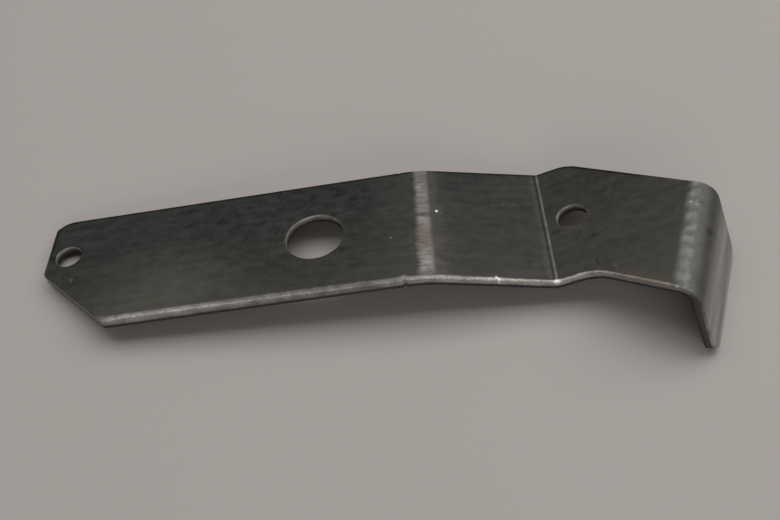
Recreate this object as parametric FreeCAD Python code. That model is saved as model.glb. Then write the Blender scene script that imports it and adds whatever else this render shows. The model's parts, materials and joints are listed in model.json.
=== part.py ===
import FreeCAD, Part
import math
import os

# A mounting bracket folded from one steel strip. The long plate rises from its cut tip to a
# gentle ridge, drops a little to a sharp valley, and the arm beyond climbs again, turned in
# its own plane towards the near side. A skewed fold at the arm's end makes the foot flange.
# It stands as it rests on a table: X runs from the tip to the flange, Y to the far side, Z up.
# Lengths are millimetres and angles are degrees.

# Sheet
width = 50.0
thickness = 3.0

# Long plate, measured on its upper face from the tip to the sharp ridge line
tip_to_ridge = 130.0
near_cut_length = 25.5
near_cut_width = 25.0
near_cut_radius = 3.5
far_cut_length = 3.6
far_cut_width = 3.4
far_cut_radius = 8.0
tip_corner_radius = 2.0

# Ridge, a wide bend whose outside is the upper face
ridge_fold = 14.5
ridge_radius = 46.0

# Middle plate and valley, a sharp press line whose inside is the upper face
ridge_to_valley = 41.0
valley_fold = 28.5
valley_radius = 1.5

# Arm, whose two edges turn aside at a kink each, measured from the valley line
far_kink = 10.8
near_kink = 12.0
arm_turn = 35.0
far_kink_radius = 12.0
near_kink_radius = 16.0

# Flange, folded down along a skewed line that crosses the strip's middle here
flange_start = 49.7
flange_skew = 21.5
flange_fold = 85.5
flange_radius = 6.0
flange_depth = 20.5
flange_corner_radius = 5.0

# Punched holes: the middle one is placed from the ridge line, the arm's from the valley line
middle_hole_diameter = 19.5
middle_hole_from_ridge = 35.5
tip_hole_diameter = 9.0
tip_hole_from_tip = 7.5
tip_hole_offset = 7.5
arm_hole_diameter = 9.8
arm_hole_from_valley = 8.8
arm_hole_offset = 0.5

# Rounding that shearing and punching leave on the upper side of the outline and of the holes
edge_roll = 0.7
hole_roll = 0.4

# How far the cutting bodies reach past the sheet, how near two points count as one, and the
# share of a side that the rounding of a corner may take
overrun = 2.0
same_point = 1e-4
side_share = 0.48

# The most that the flange's bend turns between the sections that shape it, and the number of
# points that stand for each edge where the bracket is laid on the table
section_step = 11.0
edge_points = 24

half_width = width / 2
ORIGIN = FreeCAD.Vector(0, 0, 0)
ALONG = FreeCAD.Vector(1, 0, 0)
UP = FreeCAD.Vector(0, 0, 1)
ACROSS = FreeCAD.Vector(0, 1, 0)
NO_TURN = FreeCAD.Rotation()
NO_MOVE = FreeCAD.Placement()


def moved(frame, x=0.0, y=0.0, z=0.0):
    """Gives the frame moved along its own axes."""
    return frame.multiply(FreeCAD.Placement(FreeCAD.Vector(x, y, z), NO_TURN))


def turned(frame, axis, angle, centre=ORIGIN):
    """Gives the frame turned about one of its own axes through a centre."""
    return frame.multiply(FreeCAD.Placement(ORIGIN, FreeCAD.Rotation(axis, angle), centre))


def placed(shape, frame):
    """Gives a copy of a shape, drawn about the origin, set into a frame."""
    copy = shape.copy()
    copy.transformShape(frame.toMatrix())
    return copy


def setback(radius, angle):
    """Distance from a sharp corner to where a rounding of this radius starts."""
    return radius * math.tan(math.radians(angle) / 2)


def outline(corners):
    """Joins corners (x, y, radius) by straight sides, each corner rounded by its radius.

    Returns one list of edges for each side: its corner's arc, if any, and the side after it.
    """
    points = [FreeCAD.Vector(x, y, 0) for x, y, _ in corners]
    roundings = []
    for i, (_, _, radius) in enumerate(corners):
        back = points[i - 1] - points[i]
        ahead = points[(i + 1) % len(points)] - points[i]
        half_turn = (math.pi - back.getAngle(ahead)) / 2
        shorter = min(back.Length, ahead.Length)
        reach = min(radius * math.tan(half_turn), side_share * shorter)
        back.normalize()
        ahead.normalize()
        depth = reach * math.tan(half_turn / 2)
        crown = points[i] + (back + ahead).normalize() * depth
        roundings.append((points[i] + back * reach, crown, points[i] + ahead * reach))
    sides = []
    for i, (start, crown, stop) in enumerate(roundings):
        edges = []
        if (stop - start).Length > same_point:
            edges.append(Part.Arc(start, crown, stop).toShape())
        following = roundings[(i + 1) % len(roundings)][0]
        edges.append(Part.LineSegment(stop, following).toShape())
        sides.append(edges)
    return sides


def middle(edge):
    """The point halfway along an edge."""
    return edge.valueAt((edge.FirstParameter + edge.LastParameter) / 2)


def plate(corners, joined):
    """A flat stretch with its upper face at z = 0 and its sheared edges rolled.

    The sides whose numbers are in joined run on into a neighbour and stay square.
    """
    sides = outline(corners)
    face = Part.Face(Part.Wire([edge for edges in sides for edge in edges]))
    solid = face.extrude(-UP * thickness)
    sheared = [middle(edge) for i, edges in enumerate(sides) if i not in joined for edge in edges]
    rims = []
    for edge in solid.Edges:
        if min(middle(edge).distanceToPoint(spot) for spot in sheared) < same_point:
            rims.append(edge)
    return solid.makeFillet(edge_roll, rims).Solids[0]


def section(near, far):
    """The sheet cut square across between two places, with its two upper corners rolled."""
    slack = edge_roll * (1 - math.sqrt(0.5))
    low_near = FreeCAD.Vector(0, near, -thickness)
    low_far = FreeCAD.Vector(0, far, -thickness)
    wall_near = FreeCAD.Vector(0, near, -edge_roll)
    wall_far = FreeCAD.Vector(0, far, -edge_roll)
    top_near = FreeCAD.Vector(0, near + edge_roll, 0)
    top_far = FreeCAD.Vector(0, far - edge_roll, 0)
    crown_near = FreeCAD.Vector(0, near + slack, -slack)
    crown_far = FreeCAD.Vector(0, far - slack, -slack)
    return Part.Face(Part.Wire([
        Part.LineSegment(low_near, low_far).toShape(),
        Part.LineSegment(low_far, wall_far).toShape(),
        Part.Arc(wall_far, crown_far, top_far).toShape(),
        Part.LineSegment(top_far, top_near).toShape(),
        Part.Arc(top_near, crown_near, wall_near).toShape(),
        Part.LineSegment(wall_near, low_near).toShape(),
    ]))


def fold(near, far, angle, radius, frame):
    """A bent stretch of the sheet, and the frame at its end.

    A positive angle folds down and a negative one up. The radius is the upper face's.
    """
    centre = FreeCAD.Vector(0, 0, -math.copysign(radius, angle))
    solid = section(near, far).revolve(centre, ACROSS, angle)
    return placed(solid, frame), turned(frame, ACROSS, angle, centre)


def winding_fold(flange, slope, angle, radius):
    """The bent stretch before a flange whose sheared edges cross the fold aslant, in its frame.

    The edges keep their direction on the unrolled upper face, so they wind about the fold's
    axis. The flange's own end section is strung along that winding, back to the fold's start.
    """
    end = [face for face in flange.Faces if face.BoundBox.XMax < same_point][0]
    centre = FreeCAD.Vector(0, 0, -radius)
    spans = math.ceil(angle / section_step)
    strung = []
    for k in range(spans + 1):
        swing = -angle * k / spans
        drift = slope * radius * math.radians(swing)
        strung.append(placed(end.OuterWire, turned(moved(NO_MOVE, y=drift), ACROSS, swing, centre)))
    return Part.makeLoft(strung, True)


def punch(x, y, diameter, frame):
    """Cuts a round hole square through the sheet, with the upper rim drawn in round."""
    radius = diameter / 2
    slack = hole_roll * (1 - math.sqrt(0.5))
    below = -thickness - overrun
    rim = FreeCAD.Vector(radius, 0, -hole_roll)
    crown = FreeCAD.Vector(radius + slack, 0, -slack)
    mouth = FreeCAD.Vector(radius + hole_roll, 0, 0)
    edges = [Part.Arc(rim, crown, mouth).toShape()]
    path = [mouth, FreeCAD.Vector(mouth.x, 0, overrun), FreeCAD.Vector(0, 0, overrun)]
    path += [FreeCAD.Vector(0, 0, below), FreeCAD.Vector(radius, 0, below), rim]
    for start, stop in zip(path, path[1:]):
        edges.append(Part.LineSegment(start, stop).toShape())
    tool = Part.Face(Part.Wire(edges)).revolve(ORIGIN, UP, 360)
    return placed(tool, moved(frame, x, y))


def folded_sheet():
    """Walks along the strip from its tip and joins its stretches; gives it with its foot line."""
    stretches = []

    # Long plate
    ridge_back = setback(ridge_radius, ridge_fold)
    length = tip_to_ridge - ridge_back
    tip = NO_MOVE
    long_plate = [
        (near_cut_length, -half_width, near_cut_radius),
        (length, -half_width, 0),
        (length, half_width, 0),
        (far_cut_length, half_width, far_cut_radius),
        (0, half_width - far_cut_width, tip_corner_radius),
        (0, near_cut_width - half_width, near_cut_radius),
    ]
    stretches.append(plate(long_plate, (1,)))
    punches = [
        punch(tip_hole_from_tip, tip_hole_offset, tip_hole_diameter, tip),
        punch(tip_to_ridge - middle_hole_from_ridge, 0, middle_hole_diameter, tip),
    ]

    # Ridge
    solid, frame = fold(-half_width, half_width, ridge_fold, ridge_radius, moved(tip, length))
    stretches.append(solid)

    # Middle plate
    valley_back = setback(valley_radius, valley_fold)
    length = ridge_to_valley - ridge_back - valley_back
    middle_plate = [
        (0, -half_width, 0),
        (length, -half_width, 0),
        (length, half_width, 0),
        (0, half_width, 0),
    ]
    stretches.append(placed(plate(middle_plate, (1, 3)), frame))

    # Valley, after which the frame is drawn back to the sharp valley line
    solid, frame = fold(-half_width, half_width, -valley_fold, valley_radius, moved(frame, length))
    stretches.append(solid)
    frame = moved(frame, -valley_back)

    # Arm, up to the skewed line where the flange's bend starts
    turn = math.radians(arm_turn)
    skew = math.radians(flange_skew)
    run = FreeCAD.Vector(math.cos(turn), -math.sin(turn), 0)
    outward = FreeCAD.Vector(math.cos(skew), -math.sin(skew), 0)
    crossing = FreeCAD.Vector(flange_start, 0, 0)
    ends = []
    for kink in (FreeCAD.Vector(near_kink, -half_width, 0), FreeCAD.Vector(far_kink, half_width, 0)):
        ends.append(kink + run * ((crossing - kink).dot(outward) / run.dot(outward)))
    arm = [
        (valley_back, -half_width, 0),
        (near_kink, -half_width, near_kink_radius),
        (ends[0].x, ends[0].y, 0),
        (ends[1].x, ends[1].y, 0),
        (far_kink, half_width, far_kink_radius),
        (valley_back, half_width, 0),
    ]
    stretches.append(placed(plate(arm, (2, 5)), frame))
    punches.append(punch(arm_hole_from_valley, arm_hole_offset, arm_hole_diameter, frame))

    # Flange, whose free edge lies along the fold, and the bend that the arm's edges wind round
    fold_line = FreeCAD.Vector(math.sin(skew), math.cos(skew), 0)
    slope = -math.tan(turn - skew)
    drift = slope * flange_radius * math.radians(flange_fold)
    near, far = [(end - crossing).dot(fold_line) + drift for end in ends]
    reach = slope * flange_depth
    flange = plate([
        (0, near, 0),
        (flange_depth, near + reach, flange_corner_radius),
        (flange_depth, far + reach, flange_corner_radius),
        (0, far, 0),
    ], (3,))
    bend = winding_fold(flange, slope, flange_fold, flange_radius)
    frame = turned(moved(frame, flange_start), UP, -flange_skew)
    frame = turned(frame, ACROSS, flange_fold, FreeCAD.Vector(0, 0, -flange_radius))
    stretches += [placed(bend, frame), placed(flange, frame)]

    sheet = stretches[0].fuse(stretches[1:]).removeSplitter()
    inner_edge = [FreeCAD.Vector(flange_depth, place + reach, -thickness) for place in (near, far)]
    foot = [frame.multVec(point) for point in inner_edge]
    return sheet.cut(punches).Solids[0], foot


def resting(sheet, foot):
    """Lays the bracket down as it comes to rest on a table, with its centre above the origin.

    The flange's free edge lies along the table, from one end of the foot line to the other,
    and the bracket is turned about it until the tip's far lower corner touches too.
    """
    along_foot = (foot[1] - foot[0]).normalize()
    inboard = foot[0] * -1
    inboard -= along_foot * inboard.dot(along_foot)
    inboard.normalize()
    lift = along_foot.cross(inboard)

    # The other place that touches is more than the strip's width from the foot line
    rises = []
    for edge in sheet.Edges:
        for point in edge.discretize(edge_points):
            away = point - foot[0]
            if away.dot(inboard) > width:
                rises.append(math.atan2(away.dot(lift), away.dot(inboard)))
    rise = min(rises)
    table_up = lift * math.cos(rise) - inboard * math.sin(rise)
    table_across = table_up.cross(ALONG)
    upright = FreeCAD.Rotation(table_across.cross(table_up), table_across, table_up).inverted()
    level = placed(sheet, FreeCAD.Placement(ORIGIN, upright))
    box = level.optimalBoundingBox()
    return placed(level, moved(NO_MOVE, -box.Center.x, -box.Center.y, -box.ZMin))


os.makedirs("parts", exist_ok=True)
bracket = resting(*folded_sheet())
bracket.exportStep("parts/bracket.step")
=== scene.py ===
import json
import math
from types import SimpleNamespace

import bpy
import numpy as np
from mathutils import Euler, Matrix, Vector, noise
from mathutils.geometry import delaunay_2d_cdt


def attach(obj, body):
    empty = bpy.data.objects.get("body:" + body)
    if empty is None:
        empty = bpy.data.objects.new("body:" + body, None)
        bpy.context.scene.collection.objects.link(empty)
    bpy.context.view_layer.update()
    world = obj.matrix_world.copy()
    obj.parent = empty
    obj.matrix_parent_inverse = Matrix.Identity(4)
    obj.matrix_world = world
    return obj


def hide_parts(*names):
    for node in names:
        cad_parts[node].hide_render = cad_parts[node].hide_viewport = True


# The folded steel mounting bracket, dressed. Its sheet is built here again as a fine mesh, from
# the same sizes as the solid, so that it can carry the shear's rolled and broken edges, the
# press marks on its folds and the rubbed places in its mill scale. Sheet sizes are millimetres.
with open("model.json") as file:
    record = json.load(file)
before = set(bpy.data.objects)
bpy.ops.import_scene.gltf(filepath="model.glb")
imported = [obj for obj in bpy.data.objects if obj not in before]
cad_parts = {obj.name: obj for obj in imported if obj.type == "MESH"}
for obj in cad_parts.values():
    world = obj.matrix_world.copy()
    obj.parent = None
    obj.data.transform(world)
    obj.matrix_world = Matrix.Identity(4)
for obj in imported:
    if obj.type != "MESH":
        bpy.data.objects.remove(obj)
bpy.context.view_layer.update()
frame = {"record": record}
MM = 0.001

# Blank, measured on its upper face: x along the strip from the tip, y across it, far side up
width = 50.0
thickness = 3.0
tip_to_ridge = 130.0
near_cut_length = 25.5
near_cut_width = 25.0
near_cut_radius = 3.5
far_cut_length = 3.6
far_cut_width = 3.4
far_cut_radius = 8.0
tip_corner_radius = 2.0

# Ridge and valley
ridge_fold = math.radians(14.5)
ridge_radius = 46.0
ridge_to_valley = 41.0
valley_fold = math.radians(28.5)
valley_radius = 1.5

# Arm and flange
far_kink = 10.8
near_kink = 12.0
arm_turn = math.radians(35.0)
far_kink_radius = 12.0
near_kink_radius = 16.0
flange_start = 49.7
flange_skew = math.radians(21.5)
flange_fold = math.radians(85.5)
flange_radius = 6.0
flange_depth = 20.5
flange_corner_radius = 5.0

# Punched holes
middle_hole_diameter = 19.5
middle_hole_from_ridge = 35.5
tip_hole_diameter = 9.0
tip_hole_from_tip = 7.5
tip_hole_offset = 7.5
arm_hole_diameter = 9.8
arm_hole_from_valley = 8.8
arm_hole_offset = 0.5

# Sheared edges: the shear rounds the upper rim, burnishes the wall's upper part and breaks the
# rest. It was dull along the near side, from the cut corner on, and rolled that rim wider
roll_width = 0.48
roll_depth = 0.45
hole_roll_width = 0.5
hole_roll_depth = 0.42
burnished_to = 1.7
broken_hollow = 0.06
dull_shear_width = 1.2
dull_shear_depth = 0.5
dull_shear_start = 6.0
dull_shear_reach = 110.0
dull_shear_fade = 70.0
near_side_from = 1.0
near_side_ease = 0.5

# Mesh pitches, and the flat margin kept beside every rolled rim
face_pitch = 1.0
underside_pitch = 2.0
edge_pitch = 0.5
hole_pitch = 0.36
margin = 0.25
roll_steps = 7
valley_rows = 8
flange_rows = 18
dent_rings = 5
dent_spokes = 6
dent_surround = 1.3
crisp_angle = math.radians(38)

# How near inner points come to a rim, and how far apart neighbours in a row are, in pitches
rim_clearance = 0.45
row_gap = 2.5

# Millimetres that count as nothing: between points of a row, between points that are merged, and
# between a point and the edge that it is on
same_row = 1e-6
merged = 1e-5
on_edge = 0.01

# A side of the blank whose heading rises less than this runs along the strip
level_rise = 0.01

# Random unevenness along the sheared edges: its share, the size of its waves and its seed
# The rolled rim's depth varies by a part of what its width does
rim_wavers = ((0.16, 5.0, 1.0), (0.10, 1.6, 5.0))
depth_part = 0.4
break_waver = (0.25, 4.0, 3.0)
hollow_waver = (0.5, 2.4, 8.0)

# The broken wall, from its top to the underside: share of its height, and of its hollow, at each ring
broken_wall = ((0.0, 0.0), (0.12, 0.6), (0.4, 1.0), (0.75, 0.8), (1.0, 0.0))

# Places on the blank where the upper face took a knock, with the radius and depth of each dent
crown_knock = (135.1, 4.8)
flange_knock = (216.1, -9.4)
plate_knock = (119.7, -5.9)
tip_knock = (11.0, -4.5)
face_dents = (
    (*crown_knock, 0.9, 0.22),
    (*flange_knock, 0.9, 0.16),
    (*plate_knock, 0.7, 0.10),
    (*tip_knock, 0.8, 0.10),
)

# Nicks in the edges, where two strokes of the shear met: x, y, width and depth of each
edge_nicks = (
    (123.4, -width / 2, 2.0, 0.60),
    (152.4, -width / 2, 1.1, 0.22),
    (123.4, width / 2, 1.7, 0.22),
)

# Marks of the press tools, along the blank: the middle and the width of the band rubbed on the
# crown, and the line that the punch's nose left in the valley
crown_line = 130.7
crown_rub = 2.4
valley_mark = 171.0

# Gaps in the crown's rubbed band: place across the strip, half width, fade and strength of each
crown_gaps = (
    (3.2, 0.4, 1.4, 0.55),
    (8.8, 0.5, 1.8, 0.28),
    (-24.5, 1.5, 3.0, 0.35),
)

# Distance between the touches of the press tool along the flange's fold, and a wave texture's
# repeat at a scale of 1
touch_gap = 4.6
wave_length = math.pi / 10

# Patches of the upper face: x, y, radius and fade of each
worn_corner_patch = (44.0, -24.0, 4.0, 38.0)
thick_scale_patch = (84.0, 14.0, 8.0, 34.0)
worn_start_patch = (42.0, -25.0, 12.0, 26.0)
stroke_end_spot = (123.3, -24.9, 0.2, 0.6)

# Lines on the upper face: start, end, half width and fade of each, and how a scratch's ends fade
heat_tint = ((188.5, -28.0), (204.0, -38.8), 0.6, 3.0)
rusted_rim = ((187.0, -28.5), (201.0, -38.3), 0.8, 2.2)
scratch_end = 0.5

# Knocks that went through the scale to clean steel, painted near white; the spot at the valley's
# near end and the short slanted scratch by the near edge are painted glints as well. Round ones
# have x, y, radius, fade and strength; scratches have start, end, half width, fade, strength, and
# whether they are dotted
knock_spots = (
    (*crown_knock, 0.35, 0.40, 0.9),
    (*flange_knock, 0.30, 0.50, 0.5),
    (*plate_knock, 0.15, 0.50, 0.15),
    (108.0, -0.3, 0.10, 0.50, 0.08),
    (170.9, -25.0, 0.7, 1.1, 0.9),
    (204.3, -40.0, 0.4, 1.0, 0.5),
)
knock_scratches = (
    ((135.3, 4.6), (136.9, 4.0), 0.1, 0.4, 0.3, True),
    ((151.8, -23.6), (152.9, -24.9), 0.15, 0.45, 0.9, False),
    ((10.8, -3.6), (11.1, -5.2), 0.1, 0.9, 0.06, False),
    ((153.3, 8.7), (169.6, 9.7), 0.05, 0.60, 0.10, True),
    ((191.9, 4.4), (196.1, 12.0), 0.2, 1.6, 0.02, False),
    ((189.0, -23.9), (189.5, -26.8), 0.2, 1.1, 0.03, False),
)

# Stains and pits that are darker than the scale, in the same form. The long one lies along the
# valley, on the middle plate's side of the punch's line
stain_spots = (
    (185.1, -10.6, 0.5, 0.9, 0.8),
    (179.4, -9.9, 0.3, 0.8, 0.45),
    (173.5, -4.4, 0.8, 1.6, 0.45),
    (218.7, -10.4, 0.5, 0.9, 0.5),
    (219.2, -21.4, 0.5, 1.4, 0.7),
)
stain_scratches = (
    ((184.0, -20.6), (184.5, -23.0), 0.25, 0.5, 0.5, False),
    ((valley_mark - 0.95, -24.5), (valley_mark - 0.95, 24.5), 0.12, 0.30, 0.65, False),
)

# Walls: how far round a hole its marks reach, and how much higher up the wall of each in the list
# of holes is torn than the strip's edges are, and the flange's edges too
hole_surround = 1.8
hole_fade = 0.5
holes_torn_higher = (0.0, 0.6, 0.5)
flange_torn_higher = 0.9

# The scale's tone before its patterns are added
darkest_tone = -0.05

# Camera, found from the photograph's edges and holes: its place in millimetres, its turn in degrees
camera_place = Vector((19.232, -176.271, 251.160))
camera_turn = (36.204, 5.570, -2.791)
focal_pixels = 931.05
photo_width = 780
sensor_width = 36.0

# Metres from the middle of the table to its sides, which are out of the photograph's view
table_reach = 12.0

half_width = width / 2
ridge_back = ridge_radius * math.tan(ridge_fold / 2)
valley_back = valley_radius * math.tan(valley_fold / 2)
ridge_start = tip_to_ridge - ridge_back
ridge_arc = ridge_radius * ridge_fold
valley_start = ridge_start + ridge_arc + ridge_to_valley - ridge_back - valley_back
valley_arc = valley_radius * valley_fold
arm_zero = valley_start + valley_arc - valley_back
flange_arc = flange_radius * flange_fold
crossing = np.array((arm_zero + flange_start, 0.0))
outward = np.array((math.cos(flange_skew), -math.sin(flange_skew)))
fold_line = np.array((math.sin(flange_skew), math.cos(flange_skew)))
holes = (
    (tip_to_ridge - middle_hole_from_ridge, 0.0, middle_hole_diameter / 2),
    (tip_hole_from_tip, tip_hole_offset, tip_hole_diameter / 2),
    (arm_zero + arm_hole_from_valley, arm_hole_offset, arm_hole_diameter / 2),
)


def blank_corners():
    """The corners (x, y, radius) of the unfolded blank, going round it with the steel on the left."""
    run = np.array((math.cos(arm_turn), -math.sin(arm_turn)))
    near = np.array((arm_zero + near_kink, -half_width))
    far = np.array((arm_zero + far_kink, half_width))
    free = flange_arc + flange_depth
    near_free, far_free = [
        kink + run * ((free - (kink - crossing) @ outward) / (run @ outward)) for kink in (near, far)
    ]
    return (
        (near_cut_length, -half_width, near_cut_radius),
        (near[0], near[1], near_kink_radius),
        (near_free[0], near_free[1], flange_corner_radius),
        (far_free[0], far_free[1], flange_corner_radius),
        (far[0], far[1], far_kink_radius),
        (far_cut_length, half_width, far_cut_radius),
        (0.0, half_width - far_cut_width, tip_corner_radius),
        (0.0, near_cut_width - half_width, near_cut_radius),
    )


def corner_arcs():
    """The arc at each corner of the blank: its ends, its heading, the way to its centre, its turn."""
    corners = blank_corners()
    points = [np.array(corner[:2]) for corner in corners]
    arcs = []
    for i, corner in enumerate(corners):
        back = points[i - 1] - points[i]
        ahead = points[(i + 1) % len(points)] - points[i]
        back /= np.linalg.norm(back)
        ahead /= np.linalg.norm(ahead)
        turn = math.pi - math.acos(back @ ahead)
        reach = corner[2] * math.tan(turn / 2)
        left = 1 if back[0] * ahead[1] - back[1] * ahead[0] < 0 else -1
        inward = left * np.array((back[1], -back[0]))
        arcs.append((
            points[i] + back * reach, points[i] + ahead * reach, -back, inward * corner[2], turn * left))
    return arcs


def blank_edge():
    """Points round the blank's sheared edge, with the direction into the steel at each.

    The sides that run along the strip have a point in each of the valley's rows.
    """
    arcs = corner_arcs()
    stations = valley_stations()
    spots, headings = [], []
    for i, (start, stop, heading, to_centre, turn) in enumerate(arcs):
        steps = max(3, math.ceil(np.linalg.norm(to_centre) * abs(turn) / edge_pitch))
        for k in range(steps):
            spin = turned(turn * k / steps)
            spots.append(start + to_centre - spin @ to_centre)
            headings.append(spin @ heading)
        following = arcs[(i + 1) % len(arcs)][0]
        side = following - stop
        length = np.linalg.norm(side)
        heading = side / length
        places = set(np.linspace(0, length, math.ceil(length / edge_pitch), endpoint=False))
        if abs(heading[1]) < level_rise:
            exact = [(x - stop[0]) / heading[0] for x in stations]
            exact = [place for place in exact if 0 < place < length]
            places = {p for p in places if all(abs(p - place) > edge_pitch / 2 for place in exact)}
            places |= set(exact)
        for place in sorted(places):
            spots.append(stop + heading * place)
            headings.append(heading)
    spots = np.array(spots)
    headings = np.array(headings)
    return spots, np.stack((-headings[:, 1], headings[:, 0]), 1)


def turned(angle):
    """The matrix of a turn in the plane."""
    return np.array(((math.cos(angle), -math.sin(angle)), (math.sin(angle), math.cos(angle))))


def hole_edge(x, y, radius):
    """Points round a punched hole, with the direction into the steel at each."""
    count = math.ceil(2 * math.pi * radius / hole_pitch)
    angles = np.arange(count) * (-2 * math.pi / count)
    into = np.stack((np.cos(angles), np.sin(angles)), 1)
    return np.array((x, y)) + into * radius, into


def valley_stations():
    """The rows of points that the sharp valley needs, across the strip, and one beside it each way."""
    rows = np.linspace(valley_start, valley_start + valley_arc, valley_rows)
    return np.array((rows[0] - margin, *rows, rows[-1] + margin))


def wander(spots, share, grain, seed):
    """A smooth random number at each place on the blank, up to about the share each way."""
    return np.array([share * noise.noise(Vector((x / grain, y / grain, seed))) for x, y in spots])


def edge_profile(spots, into, rim_width, rim_depth):
    """Rings of points from the flat upper face over the rolled rim and down the sheared wall.

    Gives each ring's places on the blank, its depths, and how far its points are from the wall.
    """
    rings = [(rim_width + margin, np.zeros(len(spots)))]
    for k in range(roll_steps + 1):
        part = math.pi / 2 * k / roll_steps
        rings.append((rim_width * (1 - math.sin(part)), rim_depth * (1 - math.cos(part))))
    broken = burnished_to + wander(spots, *break_waver)
    deepest = broken_hollow * (1 + wander(spots, *hollow_waver))
    for share, hollow in broken_wall:
        rings.append((deepest * hollow, broken + (thickness - broken) * share))
    return [(spots + into * np.reshape(inset, (-1, 1)), depth, inset) for inset, depth in rings]


def inside(points, loop):
    """Which points lie within a closed loop."""
    held = np.zeros(len(points), bool)
    for (ax, ay), (bx, by) in zip(loop, np.roll(loop, -1, 0)):
        if ay == by:
            continue
        crosses = (points[:, 1] > min(ay, by)) & (points[:, 1] <= max(ay, by))
        held ^= crosses & (points[:, 0] < ax + (points[:, 1] - ay) * (bx - ax) / (by - ay))
    return held


def clearance(points, spots):
    """The distance from each point to the nearest of the spots."""
    nearest = np.full(len(points), np.inf)
    for x, y in spots:
        nearest = np.minimum(nearest, np.hypot(points[:, 0] - x, points[:, 1] - y))
    return nearest


def face_grid(pitch, finer):
    """Points of a face of the blank, in rows along its folds, which reach past its edges.

    The finer face also has rounds of points about the middle of each knock.
    """
    # The arm turns to the near side, so the rows reach further that way
    across = np.arange(-half_width * 3, half_width * 2, pitch)
    plain = np.arange(pitch, valley_start - pitch / 3, pitch)
    beyond = np.arange(valley_start + valley_arc + pitch / 2, crossing[0] + width, pitch)
    stations = (*plain, *valley_stations(), *beyond)
    strip = np.concatenate([np.column_stack((np.full(len(across), x), across)) for x in stations])
    strip = strip[(strip - crossing) @ outward < -pitch / 2]
    bend_rows = np.linspace(0, flange_arc, flange_rows)
    face_rows = np.arange(flange_arc + pitch, flange_arc + flange_depth, pitch)
    flange = np.concatenate([
        crossing + outward * u + np.outer(across, fold_line) for u in (*bend_rows, *face_rows)])
    grid = np.concatenate((strip, flange))
    if finer:
        rounds = []
        for x, y, radius, _ in face_dents:
            grid = grid[np.hypot(grid[:, 0] - x, grid[:, 1] - y) > radius * dent_surround]
            for k in range(dent_rings):
                angles = np.arange(dent_spokes * k or 1) * (2 * math.pi / dent_spokes / max(k, 1))
                ring = np.stack((np.cos(angles), np.sin(angles)), 1) * (radius * k / (dent_rings - 1))
                rounds.append(ring + (x, y))
        grid = np.concatenate((grid, *rounds))
    return grid


def face_triangles(loops, pitch, finer):
    """Fills a face of the blank. Gives its inner points and its triangles, loops' points first."""
    rim = np.concatenate(loops)
    grid = face_grid(pitch, finer)
    rounds = []
    for (x, y, _), loop in zip(holes, loops[1:]):
        rounds.append((x, y, math.hypot(loop[0][0] - x, loop[0][1] - y)))
    keep = inside(grid, loops[0]) & (clearance(grid, rim) > face_pitch * rim_clearance)
    for x, y, radius in rounds:
        keep &= np.hypot(grid[:, 0] - x, grid[:, 1] - y) > radius
    grid = grid[keep]
    points = np.concatenate((rim, grid))
    edges, first = [], 0
    for loop in loops:
        edges += [(first + k, first + (k + 1) % len(loop)) for k in range(len(loop))]
        first += len(loop)
    for x in valley_stations():
        row = np.flatnonzero(np.abs(points[:, 0] - x) < same_row)
        row = row[np.argsort(points[row, 1])]
        for a, b in zip(row, row[1:]):
            if points[b, 1] - points[a, 1] < row_gap * pitch:
                edges.append((int(a), int(b)))

    # Output type 1 keeps the triangles that lie within the edges
    found = delaunay_2d_cdt([Vector(p) for p in points], edges, [], 1, merged)
    source = [ids[0] for ids in found[3]]
    triangles = []
    for corner_ids in found[2]:
        corners = [source[k] for k in corner_ids]
        middle = points[corners].mean(0)
        if all(math.hypot(middle[0] - x, middle[1] - y) > radius for x, y, radius in rounds):
            triangles.append(corners)
    return grid, triangles


def dented(spots):
    """How far the knocks push the upper face in at each place on the blank."""
    sunk = np.zeros(len(spots))
    for x, y, radius, depth in face_dents:
        share = np.hypot(spots[:, 0] - x, spots[:, 1] - y) / radius
        sunk += depth * np.clip(1 - share ** 2, 0, 1) ** 2
    return sunk


def pressed(points, start, heading, angle, radius):
    """Folds what lies beyond a line on the blank, down by an angle, or up by a negative one.

    The line passes through the start, square to the heading. The upper face keeps its length.
    """
    sign = 1 if angle > 0 else -1
    flat = points[:, :2] - start
    run = flat @ heading
    side = flat - np.outer(run, heading)
    sweep = np.clip(run / radius, 0, abs(angle))
    rest = run - sweep * radius
    lever = radius + sign * points[:, 2]
    reached = lever * np.sin(sweep) + rest * np.cos(sweep)
    height = sign * (lever * np.cos(sweep) - radius - rest * np.sin(sweep))
    return np.column_stack((start + side + np.outer(reached, heading), height))


def folded(points):
    """Takes places on the blank (x, y, height over its upper face) through the press, flange first."""
    along = np.array((1.0, 0.0))
    points = pressed(points, crossing, outward, flange_fold, flange_radius)
    points = pressed(points, np.array((valley_start, 0.0)), along, -valley_fold, valley_radius)
    return pressed(points, np.array((ridge_start, 0.0)), along, ridge_fold, ridge_radius)


def resting_place():
    """Where the long plate's tip lies at rest, found from the record's two holes in that plate."""
    mounts = {mount["name"]: mount for mount in frame["record"]["mounts"]}
    middle = Vector(mounts["middle_hole"]["pos_m"]) / MM
    tip = Vector(mounts["tip_hole"]["pos_m"]) / MM
    up = Vector(mounts["middle_hole"]["axis"]).normalized()
    wall_middle = thickness - mounts["middle_hole"]["dims"]["length_mm"] / 2
    along_gap = holes[0][0] - holes[1][0]
    across_gap = holes[0][1] - holes[1][1]
    gap = middle - tip
    along = (gap * along_gap - up.cross(gap) * across_gap).normalized()
    origin = middle + up * wall_middle - along * holes[0][0]
    turn = Matrix((along, up.cross(along), up)).transposed().to_4x4()
    return Matrix.Scale(MM, 4) @ Matrix.Translation(origin) @ turn


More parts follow.
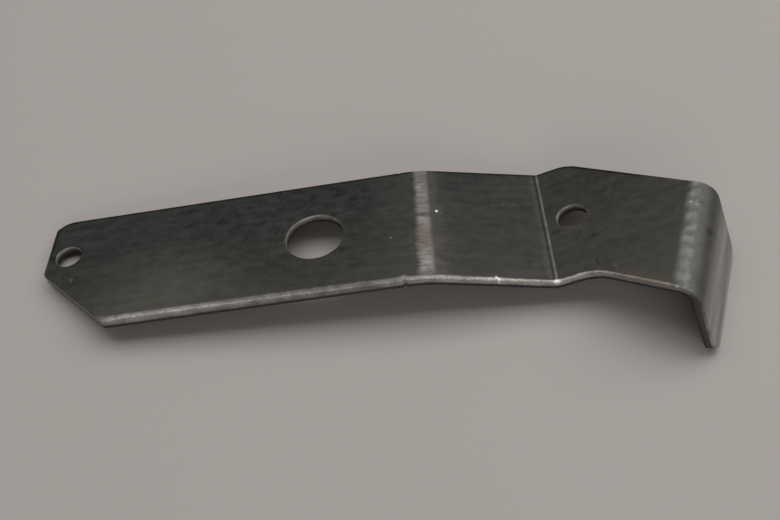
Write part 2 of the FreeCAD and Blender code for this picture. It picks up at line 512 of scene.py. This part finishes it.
def sheared_widths(spots, into):
    """How wide and deep the rolled rim is round the blank, and how far nicks cut into it."""
    near_side = np.clip((near_side_from - half_width - spots[:, 1]) / near_side_ease, 0, 1)
    fade = np.clip((dull_shear_reach - spots[:, 0]) / dull_shear_fade, 0, 1)
    start = np.clip((spots[:, 0] - near_cut_length) / dull_shear_start, 0, 1)
    extra = near_side * start * fade * (spots[:, 0] < valley_start)
    uneven = np.ones(len(spots))
    for waver in rim_wavers:
        uneven += wander(spots, *waver)
    wide = (roll_width + dull_shear_width * extra) * uneven
    deep = (roll_depth + dull_shear_depth * extra) * (1 - depth_part + depth_part * uneven)
    cut = np.zeros(len(spots))
    for x, y, span, depth in edge_nicks:
        share = np.abs(spots[:, 0] - x) / (span / 2)
        cut += np.where(np.abs(spots[:, 1] - y) < on_edge, depth * np.clip(1 - share, 0, 1), 0)
    return wide, deep, cut


def sheet_points():
    """The sheet's points on the blank, how far each is from the sheared wall, and the faces."""
    places, heights, from_wall, faces = [], [], [], []

    def add(spots, depth, inset):
        """Adds points to the mesh; gives the number of the first."""
        first = sum(len(part) for part in places)
        places.append(spots)
        heights.append(-np.broadcast_to(depth, len(spots)))
        from_wall.append(np.broadcast_to(inset, len(spots)))
        return first

    top_rims, top_numbers, under_rims, under_numbers = [], [], [], []
    spots, into = blank_edge()
    wide, deep, cut = sheared_widths(spots, into)
    loops = [(spots + into * cut[:, None], into, wide, deep)]
    for hole in holes:
        spots, into = hole_edge(*hole)
        even = np.ones(len(spots))
        loops.append((spots, into, hole_roll_width * even, hole_roll_depth * even))
    for spots, into, wide, deep in loops:
        rings = edge_profile(spots, into, wide, deep)
        count = len(spots)
        firsts = [add(*ring) for ring in rings]
        for above, below in zip(firsts, firsts[1:]):
            for k in range(count):
                after = (k + 1) % count
                faces.append((above + k, below + k, below + after, above + after))
        top_rims.append(rings[0][0])
        top_numbers += range(firsts[0], firsts[0] + count)
        under_rims.append(rings[-1][0])
        under_numbers += range(firsts[-1], firsts[-1] + count)

    for rims, numbers, pitch, upper in (
        (top_rims, top_numbers, face_pitch, True),
        (under_rims, under_numbers, underside_pitch, False),
    ):
        grid, triangles = face_triangles(rims, pitch, upper)
        depth = dented(grid) if upper else thickness
        first = add(grid, depth, clearance(grid, loops[0][0]))
        numbers += range(first, first + len(grid))
        for corners in triangles:
            faces.append(tuple(numbers[k] for k in (corners if upper else reversed(corners))))
    blank = np.column_stack((np.concatenate(places), np.concatenate(heights)))
    return blank, np.concatenate(from_wall), faces


def sheet_mesh():
    """The whole sheet as one closed mesh, which knows for each point where it lies on the blank."""
    blank, from_wall, faces = sheet_points()
    mesh = bpy.data.meshes.new("bracket_sheet")
    mesh.from_pydata(folded(blank).tolist(), [], faces)
    mesh.transform(resting_place())
    mesh.validate()
    on_blank = mesh.attributes.new("blank", "FLOAT_VECTOR", "POINT")
    on_blank.data.foreach_set("vector", blank.astype(np.float32).ravel())
    inset = mesh.attributes.new("inset", "FLOAT", "POINT")
    inset.data.foreach_set("value", from_wall.astype(np.float32))
    mesh.polygons.foreach_set("use_smooth", np.ones(len(mesh.polygons), bool))
    mesh.set_sharp_from_angle(angle=crisp_angle)
    mesh.update()
    return mesh


def linear(hex_colour):
    """Turns an sRGB colour such as "a39d98" into the linear values that shaders take."""
    values = [int(hex_colour[k:k + 2], 16) / 255 for k in (0, 2, 4)]
    return (*[v / 12.92 if v <= 0.04045 else ((v + 0.055) / 1.055) ** 2.4 for v in values], 1.0)


def add_node(material, kind, inputs=None, **settings):
    """Adds a node with its settings. An input is set to a value, or linked to a socket or a node."""
    node = material.node_tree.nodes.new("ShaderNode" + kind)
    for name, value in settings.items():
        setattr(node, name, value)
    for key, value in (inputs or {}).items():
        if isinstance(value, bpy.types.Node):
            value = value.outputs[0]
        if isinstance(value, bpy.types.NodeSocket):
            material.node_tree.links.new(value, node.inputs[key])
        else:
            node.inputs[key].default_value = value
    return node


def new_material(name):
    """An empty node material and its output node."""
    material = bpy.data.materials.new(name)
    material.use_nodes = True
    material.node_tree.nodes.clear()
    return material, add_node(material, "OutputMaterial")


def rolled_pattern(material, place, length, breadth, detail, start):
    """Random tones about 0.5, drawn out along the strip: their length and breadth are millimetres."""
    spread = (1 / length, 1 / breadth, 1 / breadth)
    drawn = add_node(material, "VectorMath", {
        0: place, 1: spread, 2: (start,) * 3}, operation="MULTIPLY_ADD")
    return add_node(material, "TexNoise", {
        "Vector": drawn, "Scale": 1.0, "Detail": detail, "Roughness": 0.6})


def between(material, value, empty, full):
    """How far a value has gone from one at which a mark is absent to one at which it is complete."""
    ends = {"Value": value, "From Min": empty, "From Max": full}
    return add_node(material, "MapRange", ends, interpolation_type="SMOOTHSTEP")


def band(material, value, middle, half, fade):
    """A mark along a line: complete within its half width, and gone beyond the fade."""
    off = add_node(material, "Math", {0: value, 1: middle}, operation="SUBTRACT")
    off = add_node(material, "Math", {0: off}, operation="ABSOLUTE")
    return between(material, off, half + fade, half)


def spot(material, blank, x, y, radius, fade):
    """A round mark about a place on the upper face."""
    off = add_node(material, "VectorMath", {0: blank, 1: (x, y, 0.0)}, operation="DISTANCE")
    return between(material, off.outputs["Value"], radius + fade, radius)


def measured_from(material, blank, place, heading):
    """How far each point is ahead of a place on the upper face, and how far to the left of it."""
    off = add_node(material, "VectorMath", {0: blank, 1: (*place, 0.0)}, operation="SUBTRACT")
    ways = (heading[0], heading[1], 0.0), (-heading[1], heading[0], 0.0)
    gone = [add_node(material, "VectorMath", {0: off, 1: way}, operation="DOT_PRODUCT") for way in ways]
    return [distance.outputs["Value"] for distance in gone]


def scratch(material, blank, start, end, half, fade):
    """A straight mark from one place on the upper face to another."""
    line = Vector(end) - Vector(start)
    run, side = measured_from(material, blank, (Vector(start) + Vector(end)) / 2, line.normalized())
    within = band(material, run, 0.0, line.length / 2, scratch_end)
    beside = band(material, side, 0.0, half, fade)
    return add_node(material, "Math", {0: within, 1: beside}, operation="MULTIPLY")


def strongest(material, marks):
    """Lays marks over each other: (mark, strength, pattern that breaks it up, or None).

    Each is squared, because a little bare steel already looks light on dark scale.
    """
    total = None
    for mark, strength, broken_by in marks:
        mark = add_node(material, "Math", {0: mark, 1: mark}, operation="MULTIPLY")
        mark = add_node(material, "Math", {0: mark, 1: strength}, operation="MULTIPLY")
        if broken_by:
            mark = add_node(material, "Math", {0: mark, 1: broken_by}, operation="MULTIPLY")
        total = add_node(material, "Math", {0: total, 1: mark}, operation="MAXIMUM") if total else mark
    return total


def added_up(material, total, parts):
    """A first value plus a share of each pattern."""
    for pattern, share in parts:
        total = add_node(material, "Math", {0: pattern, 1: share, 2: total}, operation="MULTIPLY_ADD")
    return total


def layered(material, colour, layers):
    """Lays colours over a first one, each where its own mark is."""
    for mark, laid in layers:
        colour = add_node(material, "Mix", {0: mark, 6: colour, 7: laid}, data_type="RGBA").outputs[2]
    return colour


def read_sheet(material):
    """What the material can tell about each point of the sheet, under plain names."""
    sheet = SimpleNamespace()
    sheet.blank = add_node(material, "Attribute", attribute_name="blank").outputs["Vector"]
    sheet.inset = add_node(material, "Attribute", attribute_name="inset").outputs["Fac"]
    sheet.x, sheet.y, sheet.height = add_node(material, "SeparateXYZ", {0: sheet.blank}).outputs

    # How far past the start of the flange's fold each point is, and how far along the fold
    sheet.over, sheet.side = measured_from(material, sheet.blank, crossing, outward)
    sheet.in_holes = [
        spot(material, sheet.blank, x, y, radius + hole_surround, hole_fade) for x, y, radius in holes]

    # The rolls' streaks are about a tenth of a millimetre wide, drawn coarser here so that they show
    sheet.streaks = rolled_pattern(material, sheet.blank, 9.0, 0.8, 2.0, 0.0)
    sheet.mottles = rolled_pattern(material, sheet.blank, 4.6, 3.2, 3.0, 23.0)
    sheet.grit = rolled_pattern(material, sheet.blank, 0.9, 0.5, 2.0, 37.0)

    # Marks are on the upper face, in patches, and their edges wander by up to a millimetre or so
    sheet.upper = between(material, sheet.height, -1.2, -0.8)
    sheet.uneven = add_node(material, "Math", {
        0: sheet.mottles, 1: 2.4, 2: -1.2}, operation="MULTIPLY_ADD")
    sheet.patchy = add_node(material, "MapRange", {
        "Value": sheet.mottles, "From Min": 0.35, "From Max": 0.62, "To Min": 0.45, "To Max": 1.0})
    sheet.worn = add_node(material, "Math", {0: sheet.patchy, 1: sheet.upper}, operation="MULTIPLY")
    return sheet


def scale_tone(material, sheet):
    """How light the mill scale is, 0 to 1, where streaks, clouds, dark patches and handling show, with
    painted shade on the long plate and along the far rim.
    """
    clouds = rolled_pattern(material, sheet.blank, 34.0, 13.0, 3.0, 11.0)
    drawn = rolled_pattern(material, sheet.blank, 44.0, 2.2, 2.0, 17.0)
    handled = between(material, sheet.y, 16.0, -30.0)
    worn_corner = spot(material, sheet.blank, *worn_corner_patch)
    # Painted shade: the long plate, before the ridge, is made darker, where it catches a dimmer
    # reflection of the lamp
    long_plate_painted_shade = between(material, sheet.x, 127.0, 108.0)
    # Painted shade: the rim along the far side is made much darker, where it turns away from the light
    at_rim = between(material, sheet.inset, 1.5, 0.6)
    far_side = between(material, sheet.y, 5.0, 12.0)
    far_rim_painted_shade = add_node(material, "Math", {0: at_rim, 1: far_side}, operation="MULTIPLY")
    thick_scale = spot(material, sheet.blank, *thick_scale_patch)
    thick_scale = add_node(material, "Math", {0: thick_scale, 1: 0.65, 2: 0.35}, operation="MULTIPLY_ADD")
    blotches = rolled_pattern(material, sheet.blank, 5.0, 3.8, 2.0, 51.0)
    blotches = between(material, blotches, 0.47, 0.66)
    blotches = add_node(material, "Math", {0: blotches, 1: thick_scale}, operation="MULTIPLY")
    return added_up(material, darkest_tone, (
        (sheet.streaks, 0.05), (drawn, 0.26), (sheet.mottles, 0.50), (clouds, 0.34),
        (sheet.grit, 0.26), (handled, 0.10), (worn_corner, 0.34), (long_plate_painted_shade, -0.13),
        (blotches, -0.12), (far_rim_painted_shade, -0.50),
    ))


def ridge_marks(material, sheet):
    """The band that the press tool rubbed along the crown, wider at the near side, with gaps."""
    crown = add_node(material, "Math", {0: sheet.x, 1: crown_line}, operation="SUBTRACT")
    widening = add_node(material, "MapRange", {
        "Value": sheet.y, "From Min": half_width, "From Max": -half_width,
        "To Min": 1.12, "To Max": 0.92})
    crown = add_node(material, "Math", {0: crown, 1: widening}, operation="MULTIPLY")
    chatter = rolled_pattern(material, sheet.blank, 3.4, 0.9, 2.0, 61.0)
    crown_edge = added_up(material, crown, ((sheet.uneven, 0.40), (chatter, 1.0)))
    rubbed = band(material, crown_edge, 0.5, crown_rub / 2, 2.9)
    halo = band(material, crown, 2.0, 0.2, 9.0)
    gaps = strongest(material, [
        (band(material, sheet.y, *gap), strength, None) for *gap, strength in crown_gaps])
    kept = add_node(material, "Math", {0: 1.0, 1: gaps}, operation="SUBTRACT")
    kept = add_node(material, "Math", {0: kept, 1: sheet.worn}, operation="MULTIPLY")
    chattered = add_node(material, "MapRange", {
        "Value": chatter, "From Min": 0.36, "From Max": 0.60, "To Min": 0.55, "To Max": 1.0})
    kept = add_node(material, "Math", {0: kept, 1: chattered}, operation="MULTIPLY")
    return [(rubbed, 0.58, kept), (halo, 0.085, sheet.worn)]


def valley_marks(material, sheet):
    """The bright line of the punch's nose, with a paler strip on the middle plate beside it."""
    nose_line = band(material, sheet.x, valley_mark, 0.05, 0.65)
    strip = band(material, sheet.x, valley_mark - 2.1, 0.1, 1.9)
    return [(nose_line, 0.32, sheet.worn), (strip, 0.035, sheet.upper)]


def flange_marks(material, sheet):
    """A broad band where the bend began, in blotches, rubbed steel with a painted highlight, then an
    outer face painted paler as a reflection of the pale table, streaked by the tool's drag.
    """
    fold_place = add_node(material, "CombineXYZ", {0: sheet.side, 1: sheet.over})
    touches = add_node(material, "TexWave", {
        "Vector": fold_place, "Scale": wave_length / touch_gap, "Distortion": 5.0, "Detail": 1.0,
        "Detail Scale": 0.22}, bands_direction="X")
    smeared = rolled_pattern(material, fold_place, 3.4, 3.4, 2.0, 5.0)
    touches = add_node(material, "Math", {
        0: touches.outputs["Fac"], 1: 0.22, 2: smeared}, operation="MULTIPLY_ADD")
    touches = add_node(material, "MapRange", {
        "Value": touches, "From Min": 0.40, "From Max": 0.86, "To Min": 0.25, "To Max": 1.0})
    touches = add_node(material, "Math", {0: touches, 1: sheet.upper}, operation="MULTIPLY")
    # Where the bend began is rubbed steel and also a painted highlight of the lamp; the broad band over
    # the bend is lighter in the same two ways
    bend_edge = added_up(material, sheet.over, ((sheet.side, 0.025), (sheet.uneven, 0.8)))
    bend_start_rub_and_highlight = band(material, bend_edge, -0.2, 0.6, 3.4)
    bend_rise = between(material, bend_edge, -3.9, -0.2)
    bend_fall = between(material, bend_edge, 9.0, -1.5)
    bend = add_node(material, "Math", {0: bend_rise, 1: bend_fall}, operation="MULTIPLY")
    # Painted reflection: the outer face is painted paler, as the pale table mirrored in it, in streaks of
    # the tool's drag
    drag = rolled_pattern(material, fold_place, 60.0, 4.2, 2.0, 9.0)
    drag = add_node(material, "MapRange", {
        "Value": drag, "From Min": 0.32, "From Max": 0.66, "To Min": 0.48, "To Max": 1.0})
    outer_face = between(material, sheet.over, 5.0, 17.0)
    drag_streaks_and_painted_reflection = add_node(material, "Math", {0: outer_face, 1: drag}, operation="MULTIPLY")
    return [(bend_start_rub_and_highlight, 0.46, touches), (bend, 0.24, sheet.worn), (drag_streaks_and_painted_reflection, 0.50, sheet.upper)]


def near_rim_wear(material, sheet):
    """How bare the near rim is along the strip, with a break where two strokes of the shear met."""
    wear = add_node(material, "MapRange", {
        "Value": sheet.x, "From Min": 112.0, "From Max": 136.0, "To Min": 0.42, "To Max": 1.0})
    start_wear = spot(material, sheet.blank, *worn_start_patch)
    start_wear = add_node(material, "Math", {0: start_wear, 1: 0.62}, operation="MULTIPLY")
    wear = add_node(material, "Math", {0: wear, 1: start_wear}, operation="MAXIMUM")
    arm_wear = add_node(material, "MapRange", {
        "Value": sheet.x, "From Min": 178.0, "From Max": 196.0, "To Min": 1.0, "To Max": 0.55})
    wear = add_node(material, "Math", {0: wear, 1: arm_wear}, operation="MULTIPLY")
    stroke_end = spot(material, sheet.blank, *stroke_end_spot)
    return add_node(material, "Math", {0: wear, 1: stroke_end}, operation="SUBTRACT", use_clamp=True)


def wall_wear(material, sheet, before_flange):
    """How bare the sheared wall is: a little everywhere, and most in the upper part of the holes."""
    burnished = between(material, sheet.height, -1.5, -0.4)
    in_holes = strongest(material, [(in_hole, 0.7, burnished) for in_hole in sheet.in_holes])
    wear = add_node(material, "Math", {0: in_holes, 1: 0.30}, operation="ADD")
    at_wall = between(material, sheet.inset, 0.30, 0.12)
    below_face = between(material, sheet.height, -0.05, -0.25)
    at_wall = add_node(material, "Math", {0: at_wall, 1: below_face}, operation="MULTIPLY")
    at_wall = add_node(material, "Math", {0: at_wall, 1: before_flange}, operation="MULTIPLY")
    return add_node(material, "Math", {0: at_wall, 1: wear, 2: 0.02}, operation="MULTIPLY_ADD")


def edge_marks(material, sheet):
    """The rim that the shear rolled over and the wall that it cut, barest on the near side."""
    near_edge = between(material, sheet.y, -19.0, -23.0)
    past_cut = between(material, sheet.x, 21.0, 29.0)
    before_flange = between(material, sheet.over, 7.0, 0.0)
    near_run = add_node(material, "Math", {0: near_edge, 1: past_cut}, operation="MULTIPLY")
    near_run = add_node(material, "Math", {0: near_run, 1: before_flange}, operation="MULTIPLY")

    # How far in from the wall the edge is bare, in millimetres
    wide_run = between(material, sheet.x, 175.0, 80.0)
    wide_run = add_node(material, "Math", {0: wide_run, 1: near_run}, operation="MULTIPLY")
    reach = added_up(material, 1.15, ((wide_run, 2.2), (sheet.uneven, 0.30)))
    edge = add_node(material, "Math", {0: sheet.inset, 1: reach}, operation="DIVIDE")
    edge = between(material, edge, 1.0, 0.5)
    off_underside = between(material, sheet.height, -2.9, -2.6)
    edge = add_node(material, "Math", {0: edge, 1: off_underside}, operation="MULTIPLY")

    wear = near_rim_wear(material, sheet)
    wear = add_node(material, "Math", {0: near_run, 1: wear}, operation="MULTIPLY")
    on_wall = wall_wear(material, sheet, before_flange)
    wear = add_node(material, "Math", {0: wear, 1: on_wall}, operation="MAXIMUM")
    wear = add_node(material, "Math", {0: wear, 1: sheet.patchy}, operation="MULTIPLY")
    grainy = add_node(material, "MapRange", {
        "Value": sheet.grit, "From Min": 0.36, "From Max": 0.62, "To Min": 0.55, "To Max": 1.0})
    wear = add_node(material, "Math", {0: wear, 1: grainy}, operation="MULTIPLY")
    return [(edge, 1.00, wear)]


def underside_marks(material, sheet):
    """Where the underside rubbed on the press tool at the middle of each fold."""
    under = between(material, sheet.height, -2.85, -2.97)
    marks = []
    for place, middle, half, fade, strength in (
        (sheet.x, ridge_start + ridge_arc / 2, 0.3, 0.9, 0.45),
        (sheet.x, valley_start + valley_arc / 2, 1.3, 1.6, 0.55),
        (sheet.over, flange_arc / 2, 0.3, 0.9, 0.45),
    ):
        marks.append((band(material, place, middle, half, fade), strength, under))
    return marks


def marks_on(material, sheet, spots, scratches, dots):
    """Lays round and straight marks over each other. A dotted one is broken up by the dots."""
    marks = [(spot(material, sheet.blank, *place), strength, None) for *place, strength in spots]
    for *line, strength, dotted in scratches:
        marks.append((scratch(material, sheet.blank, *line), strength, dots if dotted else None))
    return strongest(material, marks)


def torn_wall(material, sheet):
    """Where the lower wall is torn, not cut, 0 to 1. Two holes and the flange are torn higher up."""
    wall = between(material, sheet.inset, 0.22, 0.12)
    at_flange = between(material, sheet.over, 1.0, 7.0)
    raised = [(in_hole, -higher) for in_hole, higher in zip(sheet.in_holes, holes_torn_higher)]
    torn_line = added_up(material, sheet.height, (
        (sheet.mottles, 0.8), *raised, (at_flange, -flange_torn_higher)))
    torn = between(material, torn_line, -1.15, -1.60)
    return add_node(material, "Math", {0: torn, 1: wall}, operation="MULTIPLY")


def scale_colours(material, sheet, stained):
    """The mill scale's colour: dark greys, browner where it was handled, with a tint and stains."""
    greys = add_node(material, "ValToRGB", {"Fac": scale_tone(material, sheet)})
    darker, lighter = greys.color_ramp.elements
    darker.position, darker.color = 0.30, linear("080909")
    lighter.position, lighter.color = 1.00, linear("474743")
    near_side = between(material, sheet.y, 10.0, -20.0)
    on_arm = between(material, sheet.x, 171.0, 182.0)
    browned = add_node(material, "Math", {0: near_side, 1: on_arm}, operation="MAXIMUM")
    colour = add_node(material, "Mix", {
        0: browned, 6: greys, 7: linear("fffbed")}, data_type="RGBA", blend_type="MULTIPLY").outputs[2]
    tinted = scratch(material, sheet.blank, *heat_tint)
    tinted = add_node(material, "Math", {0: tinted, 1: 0.22}, operation="MULTIPLY")
    return layered(material, colour, ((tinted, linear("5f4a3b")), (stained, linear("0f100f"))))


def steel_colours(material, sheet, scuffed, knocks_and_glints):
    """Bare steel's colour: greyer where it is scuffed, a little rusty, and near white at the knocks,
    partly clean steel and partly painted glint.
    """
    on_crown = band(material, sheet.x, crown_line, 2.0, 1.0)
    crown_rust = band(material, sheet.y, -7.0, 1.0, 9.0)
    rusted = add_node(material, "Math", {0: crown_rust, 1: on_crown}, operation="MULTIPLY")
    arm_rust = scratch(material, sheet.blank, *rusted_rim)
    arm_rust = add_node(material, "Math", {0: arm_rust, 1: 0.6}, operation="MULTIPLY")
    rusted = add_node(material, "Math", {0: rusted, 1: arm_rust}, operation="MAXIMUM")
    in_patches = between(material, sheet.mottles, 0.30, 0.62)
    rusted = add_node(material, "Math", {0: rusted, 1: in_patches}, operation="MULTIPLY")
    return layered(material, linear("c2bbb5"), (
        (scuffed, linear("b8bab4")), (rusted, linear("a89084")), (knocks_and_glints, linear("f4f2ee"))))


def surface_relief(material, sheet, torn):
    """Grain, streaks and dimples in millimetres of height, rougher where the wall is torn."""
    tearing = add_node(material, "Math", {0: torn, 1: sheet.grit}, operation="MULTIPLY")
    height = added_up(material, 0.0, (
        (sheet.grit, 0.012), (sheet.streaks, 0.002), (sheet.mottles, 0.025), (tearing, 0.06)))
    return add_node(material, "Bump", {"Height": height, "Distance": MM, "Strength": 1.0})


def mill_scale_steel():
    """Hot rolled mild steel in its mill scale, sheared, punched and folded in a press.

    The scale is a hard blue-black oxide, which the rolls polish. The eye gets a dark grey with
    fine streaks along the strip and cloudy patches, and a sheen. Where the flange is seen at a flat
    angle, its paler colour is a painted reflection of the pale table, and the start of its bend
    carries a painted highlight. Bare steel shows where the tools rubbed the scale off.
    """
    material, output = new_material("hot_rolled_mill_scale_steel")
    sheet = read_sheet(material)

    # Knocks go through the scale to clean steel, and their brightest marks are painted glints too, while
    # stains hide steel that is only rubbed
    broken = rolled_pattern(material, sheet.blank, 1.6, 0.5, 2.0, 71.0)
    dots = between(material, broken, 0.46, 0.66)
    knocks_and_glints = marks_on(material, sheet, knock_spots, knock_scratches, dots)
    stained = marks_on(material, sheet, stain_spots, stain_scratches, dots)
    bare = strongest(material, (
        *ridge_marks(material, sheet), *valley_marks(material, sheet), *flange_marks(material, sheet),
        *edge_marks(material, sheet), *underside_marks(material, sheet)))
    clear = add_node(material, "Math", {0: 1.0, 1: stained}, operation="SUBTRACT")
    bare = add_node(material, "Math", {0: bare, 1: clear}, operation="MULTIPLY")
    bare = add_node(material, "Math", {0: bare, 1: knocks_and_glints}, operation="MAXIMUM")

    # The bend is scuffed, and the lower wall is torn: matt, dark and rough, and darker still towards the
    # underside
    bend_on = between(material, sheet.over, -3.0, 1.0)
    bend_off = between(material, sheet.over, 14.0, 8.0)
    scuffed = add_node(material, "Math", {0: bend_on, 1: bend_off}, operation="MULTIPLY")
    torn = torn_wall(material, sheet)
    low_wall = between(material, sheet.height, -1.9, -2.7)
    torn_colour = add_node(material, "Mix", {
        0: low_wall, 6: linear("3a3733"), 7: linear("151413")}, data_type="RGBA").outputs[2]
    colour = layered(material, scale_colours(material, sheet, stained), (
        (bare, steel_colours(material, sheet, scuffed, knocks_and_glints)), (torn, torn_colour)))

    sound = add_node(material, "Math", {0: 1.0, 1: torn}, operation="SUBTRACT")
    metallic = add_node(material, "Math", {0: bare, 1: sound}, operation="MULTIPLY")
    metallic = add_node(material, "Math", {0: metallic, 1: 0.85}, operation="MULTIPLY")
    roughness = added_up(material, 0.25, (
        (sheet.streaks, 0.03), (bare, 0.26), (scuffed, 0.26), (torn, 0.3)))
    surface = add_node(material, "BsdfPrincipled", {
        "Base Color": colour, "Metallic": metallic, "Roughness": roughness, "IOR": 1.5,
        "Normal": surface_relief(material, sheet, torn)})
    material.node_tree.links.new(surface.outputs[0], output.inputs["Surface"])
    return material


def pale_table():
    """A matt table board, pale grey and even, so that it shows only the light and the shadow."""
    material, output = new_material("matt_painted_board")
    surface = add_node(material, "BsdfPrincipled", {"Base Color": linear("a8a29d"), "Roughness": 0.75})
    material.node_tree.links.new(surface.outputs[0], output.inputs["Surface"])
    return material


def add_sheet():
    """Puts the dressed sheet where the solid is."""
    sheet = bpy.data.objects.new("bracket_sheet", sheet_mesh())
    bpy.context.scene.collection.objects.link(sheet)
    sheet.data.materials.append(mill_scale_steel())
    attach(sheet, "root")
    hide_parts("bracket")


def add_table():
    """The floor that the bracket lies on."""
    mesh = bpy.data.meshes.new("table")
    corners = [(x * table_reach, y * table_reach, 0.0) for x, y in ((-1, -1), (1, -1), (1, 1), (-1, 1))]
    mesh.from_pydata(corners, [], [(0, 1, 2, 3)])
    table = bpy.data.objects.new("table", mesh)
    bpy.context.scene.collection.objects.link(table)
    table.data.materials.append(pale_table())


def add_lamp(name, place, size, power):
    """A soft lamp that faces the bracket, its width level along x, with its place and size in metres."""
    back = Vector(place).normalized()
    side = (Vector((1, 0, 0)) - back * back[0]).normalized()
    light = bpy.data.lights.new(name, "AREA")
    light.shape = "RECTANGLE"
    light.size, light.size_y = size
    light.energy = power
    lamp = bpy.data.objects.new(name, light)
    lamp.location = place
    lamp.rotation_euler = Matrix((side, back.cross(side), back)).transposed().to_euler()
    bpy.context.scene.collection.objects.link(lamp)


def add_lights():
    """A broad soft lamp overhead, a weak one in front that opens the shadows, and a dim room."""
    add_lamp("overhead_softbox", place=(0.28, 0.41, 1.18), size=(2.6, 1.04), power=19.5)
    add_lamp("front_fill", place=(0.25, -1.20, 0.45), size=(1.4, 0.5), power=6.2)
    world = bpy.data.worlds.new("room")
    bpy.context.scene.world = world
    world.use_nodes = True
    room = world.node_tree.nodes["Background"].inputs
    room["Color"].default_value = linear("fffdfc")
    room["Strength"].default_value = 0.15


def add_camera():
    """The camera at the photograph's viewing angle."""
    data = bpy.data.cameras.new("photograph")
    data.sensor_width = sensor_width
    data.lens = focal_pixels / photo_width * sensor_width
    camera = bpy.data.objects.new("photograph", data)
    camera.location = camera_place * MM
    camera.rotation_euler = Euler([math.radians(angle) for angle in camera_turn])
    data.clip_start = 0.01
    bpy.context.scene.collection.objects.link(camera)
    bpy.context.scene.camera = camera


add_sheet()
add_table()
add_lights()
add_camera()
bpy.context.scene.view_settings.view_transform = "Standard"
